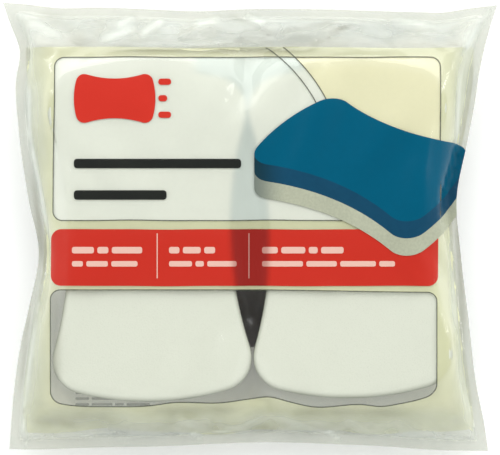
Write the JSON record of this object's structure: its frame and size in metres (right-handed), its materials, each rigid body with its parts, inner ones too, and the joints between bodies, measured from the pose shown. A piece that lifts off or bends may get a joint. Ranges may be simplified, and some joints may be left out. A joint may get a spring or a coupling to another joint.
{
  "type": "whiteboard eraser twin pack",
  "caption": "Sealed clear printed film bag holding a pair of hourglass-shaped foam whiteboard erasers, lying flat.",
  "frame": {"origin": "under the middle of the pack, on the surface it lies on", "axes": "+X across the pack to the reader's right, +Y to its top end, +Z out of its printed front"},
  "size_m": [0.1888, 0.1724, 0.0267],
  "materials": {
    "clear_film": "clear glossy film",
    "film_seal": "clear glossy film, welded",
    "grip_foam": "open-cell foam",
    "bond": "adhesive web",
    "melamine_foam": "fine open-cell foam",
    "ink_cream": "printed on the film",
    "ink_white": "printed on the film",
    "ink_pale_yellow": "printed on the film",
    "ink_red": "printed on the film",
    "ink_dark": "printed on the film",
    "ink_light": "printed on the film",
    "ink_blue": "printed on the film",
    "ink_dark_blue": "printed on the film",
    "ink_grey": "printed on the film"
  },
  "bodies": {
    "bag": {"front_film": "clear_film", "back_film": "clear_film", "top_end_seal": "film_seal", "bottom_end_seal": "film_seal", "left_side_seal": "film_seal", "right_side_seal": "film_seal", "print_border_cream": "ink_cream", "print_panel_white": "ink_white", "print_panel_yellow": "ink_pale_yellow", "print_band_red": "ink_red", "print_mark": "ink_red", "print_rule_lower": "ink_dark", "print_rule_upper": "ink_dark", "print_swoosh_rules": "ink_dark", "print_title_bars": "ink_dark", "print_back_bars": "ink_dark", "print_back_panel": "ink_dark", "print_band_bars": "ink_light", "print_band_dividers": "ink_light", "print_picture_grip_top": "ink_blue", "print_picture_grip_side": "ink_dark_blue", "print_picture_pad_side": "ink_grey"},
    "left_eraser": {"left_grip_foam": "grip_foam", "left_bond_layer": "bond", "left_erasing_pad": "melamine_foam"},
    "right_eraser": {"right_grip_foam": "grip_foam", "right_bond_layer": "bond", "right_erasing_pad": "melamine_foam"}
  },
  "joints": [
    {"name": "left_eraser_slide", "type": "slide", "parent": "bag", "child": "left_eraser", "axis": [0, 1, 0], "range_m": [0, 0.006]},
    {"name": "right_eraser_slide", "type": "slide", "parent": "bag", "child": "right_eraser", "axis": [0, 1, 0], "range_m": [-0.0013, 0.0047]}
  ]
}
